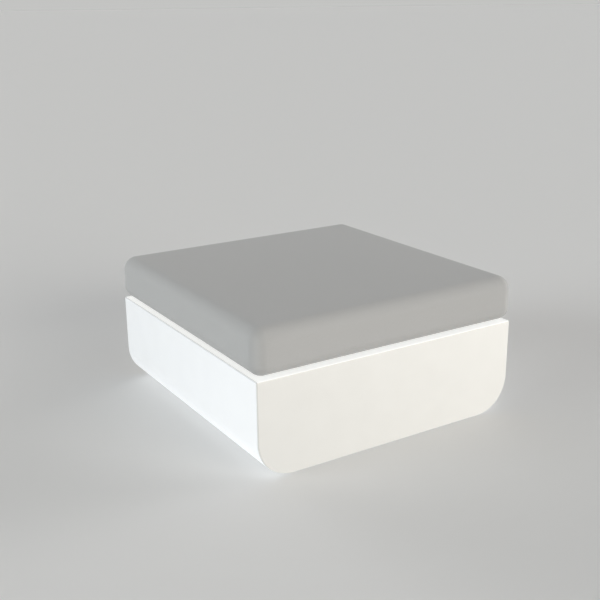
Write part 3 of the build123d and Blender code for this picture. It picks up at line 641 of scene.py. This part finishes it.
# Cushion
# A block of firm foam in a smooth stretch cover of fine grey cloth, pulled tight without piping or visible
# seams. Its edges are well rounded, its top is slightly crowned, and a zip lies in a slot across its back.
CUSHION_LOW, CUSHION_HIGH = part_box("cushion_cover")
TAPE_LOW, TAPE_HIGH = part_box("zip_tapes")
TOP_ROUND = 0.038
BASE_ROUND = 0.034
ROUND_STEPS = 12
PANEL_STEPS = 56
X_AXIS, Y_AXIS, Z_AXIS = range(3)
SLOT_MARGIN = 0.0003
SLOT_TAPER = 0.0004
SLOT_HEM = 0.0060
HEM_DIP = 0.0006
HEM_LINE = 0.00001
BACK_REACH = 0.020
CROWN = 0.0045
SIDE_PULL = 0.0012
CLOTH_PRESSURE = 4.0
CLOTH_FRAMES = 20
CLOTH_GREY = paint(174, 174, 173)
# The darker tone: the cloth's own in the slubs, and painted shade in the gaps between the yarns.
CLOTH_SHADE = paint(167, 167, 166)
CLOTH_ROUGHNESS = (0.82, 0.94)
YARN = 0.0014
YARN_HEIGHT = 0.00012
SLUB = 0.0060
SLUB_SHARE = 0.5

slot_low = Vector((TAPE_LOW.x, TAPE_LOW.y, TAPE_LOW.z - SLOT_MARGIN))
slot_high = Vector((TAPE_HIGH.x, CUSHION_HIGH.y, TAPE_HIGH.z + SLOT_MARGIN))


def round_cuts(edge, inward, radius):
    """Where lines near an edge divide its round into equal turns."""
    turns = [math.radians(45) * step / ROUND_STEPS for step in range(ROUND_STEPS)]
    return [edge + inward * radius * (1 - math.tan(turn)) for turn in turns]


def cushion_lines(axis):
    """The places along one axis where lines of the cover's mesh run, both ends included."""
    low, high = CUSHION_LOW[axis], CUSHION_HIGH[axis]
    lines = [low, high] + round_cuts(low, 1, BASE_ROUND) + round_cuts(high, -1, TOP_ROUND)
    if axis != Y_AXIS:
        lines += [slot_low[axis] - SLOT_HEM, slot_low[axis], slot_high[axis], slot_high[axis] + SLOT_HEM]
    if axis != Z_AXIS:
        span = high - low - 2 * TOP_ROUND
        lines += [low + TOP_ROUND + span * step / PANEL_STEPS for step in range(1, PANEL_STEPS)]
    return sorted(lines)


def lay_out_cloth(bm):
    """A flat pattern as UV, in metres: the top panel with the four walls folded out round it."""
    pattern = bm.loops.layers.uv.new("cloth")
    for face in bm.faces:
        centre = face.calc_center_median()
        for loop in face.loops:
            flat = loop.vert.co.copy()
            drop = CUSHION_HIGH.z - flat.z
            if abs(face.normal.x) > SQUARE_ON:
                flat.x = math.copysign(CUSHION_HIGH.x + drop, centre.x)
            elif abs(face.normal.y) > SQUARE_ON:
                flat.y = math.copysign(CUSHION_HIGH.y + drop, centre.y)
            loop[pattern].uv = flat.xy


def clamp(value, low, high):
    """The value, or the end of the range that it is past."""
    return max(low, min(high, value))


def rounded(point):
    """A point of the plain block, moved onto the block with rounded edges."""
    share = (point.z - CUSHION_LOW.z) / (CUSHION_HIGH.z - CUSHION_LOW.z)
    radius = BASE_ROUND + (TOP_ROUND - BASE_ROUND) * share
    core = Vector((
        clamp(point.x, CUSHION_LOW.x + radius, CUSHION_HIGH.x - radius),
        clamp(point.y, CUSHION_LOW.y + radius, CUSHION_HIGH.y - radius),
        clamp(point.z, CUSHION_LOW.z + BASE_ROUND, CUSHION_HIGH.z - TOP_ROUND),
    ))
    return core + (point - core).normalized() * radius


def drawn_in(point):
    """A point of the rounded block after the cover has drawn its front and sides in between the corners."""
    x_share, y_share = point.x / CUSHION_HIGH.x, point.y / CUSHION_HIGH.y
    x_pull = SIDE_PULL * x_share ** 3 * (1 - y_share ** 2)
    y_pull = SIDE_PULL * min(0.0, y_share) ** 3 * (1 - x_share ** 2)
    return point - Vector((x_pull, y_pull, 0.0))


def cushion_mesh():
    """A cube divided by the lines of the cover, laid out as cloth and rounded."""
    bm = bmesh.new()
    bmesh.ops.create_cube(bm, size=1.0)
    for axis in (X_AXIS, Y_AXIS, Z_AXIS):
        lines = cushion_lines(axis)
        along = [e for e in bm.edges if abs(e.verts[0].co[axis] - e.verts[1].co[axis]) > 0.5]
        bmesh.ops.subdivide_edges(bm, edges=along, cuts=len(lines) - 2, use_grid_fill=True)
        for vert in bm.verts:
            share = vert.co[axis] + 0.5
            vert.co[axis] = lines[round(share * (len(lines) - 1))]
    bm.normal_update()
    lay_out_cloth(bm)
    for vert in bm.verts:
        vert.co = drawn_in(rounded(vert.co))
    return bm


def in_slot(point, margin):
    """Whether a point of the back lies within the zip slot, widened by a margin."""
    across = slot_low.x - margin <= point.x <= slot_high.x + margin
    upright = slot_low.z - margin <= point.z <= slot_high.z + margin
    return across and upright and point.y > CUSHION_HIGH.y - BACK_REACH


def on_panel(point):
    """Whether a point lies on the flat of the top or of a wall, clear of the rounds and of the zip."""
    x_flat = abs(point.x) < CUSHION_HIGH.x - TOP_ROUND
    y_flat = abs(point.y) < CUSHION_HIGH.y - TOP_ROUND
    above_base = point.z > CUSHION_LOW.z + BASE_ROUND
    z_flat = above_base and point.z < CUSHION_HIGH.z - TOP_ROUND
    return x_flat + y_flat + z_flat == 2 and above_base and not in_slot(point, 2 * SLOT_HEM)


def swell(piece, held):
    """The moves of the cover's points when the foam presses from inside and the held points stay."""
    group = piece.vertex_groups.new(name="held")
    group.add(held, 1.0, "REPLACE")
    cloth = piece.modifiers.new("swell", "CLOTH")
    cloth.settings.use_pressure = True
    cloth.settings.uniform_pressure_force = CLOTH_PRESSURE
    cloth.settings.effector_weights.gravity = 0.0
    cloth.settings.vertex_group_mass = group.name
    scene = bpy.context.scene
    for moment in range(1, CLOTH_FRAMES + 1):
        scene.frame_set(moment)
    shaped = piece.evaluated_get(bpy.context.evaluated_depsgraph_get())
    moves = [after.co - before.co for after, before in zip(shaped.data.vertices, piece.data.vertices)]
    piece.modifiers.remove(cloth)
    piece.vertex_groups.remove(group)
    scene.frame_set(1)
    return moves


cloth_finish, cloth_shader, place = start_finish("cover_cloth_fine", Sheen_Weight=0.12, Sheen_Roughness=0.6,
                                                 Specular_IOR_Level=0.25)
pattern = place.add("ShaderNodeUVMap", {"uv_map": "cloth"})
warp = pattern.axis("X") / YARN
weft = pattern.axis("Y") / YARN
over = (warp.floor() + weft.floor()) % 2.0
yarns = over * abs((math.pi * warp).sine()) + (1 - over) * abs((math.pi * weft).sine())
slubs = pattern.noise(SLUB, detail=3.0)
# The slubs are the cloth's own uneven tone; the darker gaps between the yarns are painted shade.
darkness = SLUB_SHARE * slubs + (1 - SLUB_SHARE) * (1 - yarns)
feed(cloth_shader, {
    "Base Color": darkness.tint(CLOTH_GREY, CLOTH_SHADE),
    "Roughness": slubs.between(*CLOTH_ROUGHNESS),
    "Normal": yarns.relief(YARN_HEIGHT),
})

cushion = new_piece("cushion", cushion_mesh(), cloth_finish, "cushion")
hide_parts("cushion_cover", "foam_core")
held = [vert.index for vert in cushion.data.vertices if not on_panel(vert.co)]
moves = swell(cushion, held)
share = CROWN / max(move.z for move in moves)
for vert, move in zip(cushion.data.vertices, moves):
    vert.co += move * share

bm = bmesh.new()
bm.from_mesh(cushion.data)
bm.normal_update()
hem = [v for v in bm.verts if in_slot(v.co, SLOT_HEM + HEM_LINE) and not in_slot(v.co, SLOT_HEM - HEM_LINE)]
bmesh.ops.translate(bm, vec=(0, -HEM_DIP, 0), verts=hem)
backs = [face for face in bm.faces if face.normal.y > SQUARE_ON]
mouth = [face for face in backs if in_slot(face.calc_center_median(), 0.0)]
slot_depth = slot_high.y - slot_low.y
walls = bmesh.ops.inset_region(bm, faces=mouth, thickness=SLOT_TAPER, depth=-slot_depth)["faces"]
pattern = bm.loops.layers.uv["cloth"]
for face in walls:
    across = X_AXIS if abs(face.normal.x) > SQUARE_ON else Y_AXIS
    for loop in face.loops:
        loop[pattern].uv[across] += slot_high.y - loop.vert.co.y
smooth_faces(bm)
bm.to_mesh(cushion.data)
bm.free()


# Zip
# A coil zip on two woven tapes, sewn to the floor of the slot with a row of stitches above and below. A cast
# slider with a flat tab runs on the coil, between two metal stops that are crimped round its ends.
TAPE_GREY = paint(120, 120, 120)
TAPE_DARK = paint(104, 104, 104)
COIL_GREY = paint(96, 97, 98)
COIL_DARK = paint(80, 81, 82)
ZINC_BRIGHT = paint(190, 191, 193)
ZINC_DULL = paint(148, 149, 151)
TAPE_EDGE = 0.00025
TOOTH_PITCH = 0.0020
TOOTH_WIDTH = 0.0009
TOOTH_OVERLAP = 0.0004
TOOTH_EDGE = 0.0003
STOP_LENGTH = 0.0020
STOP_EDGE = 0.0004
STOP_WRAP = Vector((0.0, 0.0003, 0.0003))

COIL_LOW, COIL_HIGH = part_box("zip_coils")
coil_middle = (COIL_LOW.z + COIL_HIGH.z) / 2
overlap_low = coil_middle - TOOTH_OVERLAP
overlap_high = coil_middle + TOOTH_OVERLAP
tape_finish = grained_finish("zip_tape_woven", TAPE_GREY, TAPE_DARK,
                             grain=0.0008, height=0.0001, smooth=0.75, rough=0.92)
coil_finish = grained_finish("zip_coil_nylon", COIL_GREY, COIL_DARK,
                             grain=0.0010, height=0.00001, smooth=0.35, rough=0.50)
zinc_finish = grained_finish("zip_metal_cast", ZINC_BRIGHT, ZINC_DULL,
                             grain=0.0004, height=0.000008, smooth=0.28, rough=0.45, Metallic=1.0)
dress(zinc_finish, "zip_slider", "zip_pull")

bm = bmesh.new()
for low_z, high_z in ((TAPE_LOW.z, overlap_low), (overlap_high, TAPE_HIGH.z)):
    verts = block(bm, Vector((TAPE_LOW.x, TAPE_LOW.y, low_z)), Vector((TAPE_HIGH.x, TAPE_HIGH.y, high_z)))
    ease(bm, edges_of(verts), TAPE_EDGE, segments=2)
zip_tape_pair = new_piece("zip_tape_pair", bm, tape_finish, "cushion")
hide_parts("zip_tapes")

bm = bmesh.new()
for shift, low_z, high_z in ((0.0, COIL_LOW.z, overlap_high), (TOOTH_PITCH / 2, overlap_low, COIL_HIGH.z)):
    start = COIL_LOW.x + shift
    verts = block(bm, Vector((start, COIL_LOW.y, low_z)), Vector((start + TOOTH_WIDTH, COIL_HIGH.y, high_z)))
    ease(bm, edges_of(verts), TOOTH_EDGE, segments=1)
zip_teeth = new_piece("zip_teeth", bm, coil_finish, "cushion")
repeat(zip_teeth, int((COIL_HIGH.x - COIL_LOW.x) / TOOTH_PITCH), (TOOTH_PITCH, 0.0, 0.0))
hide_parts("zip_coils")

bm = bmesh.new()
for start in (COIL_LOW.x, COIL_HIGH.x - STOP_LENGTH):
    low = Vector((start, COIL_LOW.y, COIL_LOW.z)) - STOP_WRAP
    high = Vector((start + STOP_LENGTH, COIL_HIGH.y, COIL_HIGH.z)) + STOP_WRAP
    ease(bm, edges_of(block(bm, low, high)), STOP_EDGE, segments=2)
new_piece("zip_stops", bm, zinc_finish, "cushion")


# Stitching
# Grey polyester thread. It runs along both sides and the ends of the zip slot, round the underside where the
# base panel of the cover is sewn in, and along the borders of the loop tapes.
THREAD_GREY = paint(150, 150, 149)
THREAD_DARK = paint(130, 130, 129)
STITCH_PITCH = 0.0042
STITCH_LENGTH = 0.0034
STITCH_WIDTH = 0.0008
BASE_SEAM_INSET = 0.042

thread_finish = grained_finish("thread_grey", THREAD_GREY, THREAD_DARK,
                               grain=0.0006, height=0.00005, smooth=0.60, rough=0.80)


def stitch_rows(name, start, run, *copies):
    """Rows of stitches on the cover: one row along a run, then its copies, each a count and a step."""
    along = run.normalized()
    bm = bmesh.new()
    bmesh.ops.create_uvsphere(bm, u_segments=6, v_segments=4, radius=0.5)
    bmesh.ops.scale(bm, vec=(STITCH_WIDTH, STITCH_WIDTH, STITCH_LENGTH), verts=bm.verts)
    bmesh.ops.rotate(bm, matrix=along.to_track_quat("Z", "Y").to_matrix(), verts=bm.verts)
    bmesh.ops.translate(bm, vec=start + along * STITCH_PITCH / 2, verts=bm.verts)
    smooth_faces(bm)
    piece = new_piece(name, bm, thread_finish, "cushion")
    repeat(piece, int(run.length / STITCH_PITCH), along * STITCH_PITCH)
    for count, step in copies:
        repeat(piece, count, step)


hem_corner = Vector((slot_low.x - SLOT_HEM, CUSHION_HIGH.y - HEM_DIP, slot_low.z - SLOT_HEM))
hem_across = Vector((slot_high.x - slot_low.x + 2 * SLOT_HEM, 0.0, 0.0))
hem_up = Vector((0.0, 0.0, slot_high.z - slot_low.z + 2 * SLOT_HEM))
stitch_rows("zip_stitches_long", hem_corner, hem_across, (2, hem_up))
stitch_rows("zip_stitches_short", hem_corner, hem_up, (2, hem_across))

seam_corner = Vector((CUSHION_LOW.x + BASE_SEAM_INSET, CUSHION_LOW.y + BASE_SEAM_INSET, CUSHION_LOW.z))
seam_across = Vector((CUSHION_HIGH.x - CUSHION_LOW.x - 2 * BASE_SEAM_INSET, 0.0, 0.0))
seam_along = Vector((0.0, CUSHION_HIGH.y - CUSHION_LOW.y - 2 * BASE_SEAM_INSET, 0.0))
stitch_rows("base_stitches_across", seam_corner, seam_across, (2, seam_along))
stitch_rows("base_stitches_along", seam_corner, seam_along, (2, seam_across))

LOOP_LOW, LOOP_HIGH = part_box("loop_strips")
tape_corner = LOOP_LOW + Vector((STRIP_CORNER, border_half, STRIP_PILE_DROP))
tape_run = Vector((LOOP_HIGH.x - LOOP_LOW.x - 2 * STRIP_CORNER, 0.0, 0.0))
to_other_border = Vector((0.0, STRIP_WIDTH - STRIP_BORDER, 0.0))
stitch_rows("loop_stitches", tape_corner, tape_run, (2, to_other_border), (STRIP_COUNT, strip_step))


# Studio
# A plain pale floor that runs out into a background of its own shade, soft light from all round, wide low
# lamps on the four sides, stronger on the left and in front, and the camera where the photograph was taken.
FLOOR_PALE = paint(226, 226, 225)
FLOOR_HALF = 200.0
AMBIENT = 0.305
LAMP_SOFTNESS = math.radians(40)
LAMP_FLOOR_SHARE = 0.1586
LAMPS = {
    "lamp_left": ((-1.0, 0.20, 0.14), 2.44, (0.93, 0.98, 1.0)),
    "lamp_front": ((0.24, -1.0, 0.14), 2.60, (1.0, 0.965, 0.91)),
    "lamp_right": ((1.0, -0.20, 0.14), 1.90, (1.0, 1.0, 1.0)),
    "lamp_back": ((-0.20, 1.0, 0.14), 1.50, (1.0, 1.0, 1.0)),
}
CAMERA_PLACE = Vector((-1.3706, -2.1459, 1.1016))
CAMERA_YAW = math.radians(-32.02)
CAMERA_DROP = math.radians(17.73)
CAMERA_ROLL = math.radians(-0.56)
CAMERA_LENS = 55.88
CAMERA_SENSOR = 36.0

floor_finish = start_finish("floor_pale", Base_Color=FLOOR_PALE, Specular_IOR_Level=0.0, Roughness=0.9)[0]
bm = bmesh.new()
bmesh.ops.create_grid(bm, x_segments=1, y_segments=1, size=FLOOR_HALF)
floor = new_object("floor", bm, floor_finish)

floor_light = Vector((AMBIENT, AMBIENT, AMBIENT))
for name, (towards, strength, colour) in LAMPS.items():
    lamp = bpy.data.lights.new(name, "SUN")
    lamp.energy = strength
    lamp.angle = LAMP_SOFTNESS
    lamp.color = colour
    holder = bpy.data.objects.new(name, lamp)
    holder.rotation_euler = Vector(towards).to_track_quat("Z", "Y").to_euler()
    bpy.context.scene.collection.objects.link(holder)
    floor_light += Vector(colour) * strength * LAMP_FLOOR_SHARE / math.pi

world = bpy.data.worlds.new("studio")
world.use_nodes = True
sky = world.node_tree.nodes["Background"]
direct = Wire(world.node_tree.nodes.new("ShaderNodeLightPath").outputs["Is Camera Ray"])
glossy = direct.add("ShaderNodeLightPath", output="Is Glossy Ray")
through = direct.add("ShaderNodeLightPath", output="Is Transmission Ray")
seen = direct.math("MAXIMUM", direct.math("MAXIMUM", direct, glossy), through)
ambient_grey = (AMBIENT, AMBIENT, AMBIENT, 1.0)
far_floor = [light * level for light, level in zip(floor_light, FLOOR_PALE)]
feed(sky, {"Color": seen.tint(ambient_grey, (*far_floor, 1.0))})
bpy.context.scene.world = world

lens = bpy.data.cameras.new("photo_camera")
lens.lens = CAMERA_LENS
lens.sensor_width = CAMERA_SENSOR
camera = bpy.data.objects.new("photo_camera", lens)
camera.matrix_world = (
    Matrix.Translation(CAMERA_PLACE)
    @ Matrix.Rotation(CAMERA_YAW, 4, "Z")
    @ Matrix.Rotation(math.radians(90) - CAMERA_DROP, 4, "X")
    @ Matrix.Rotation(CAMERA_ROLL, 4, "Z")
)
bpy.context.scene.collection.objects.link(camera)
bpy.context.scene.camera = camera
bpy.context.scene.view_settings.view_transform = "Standard"
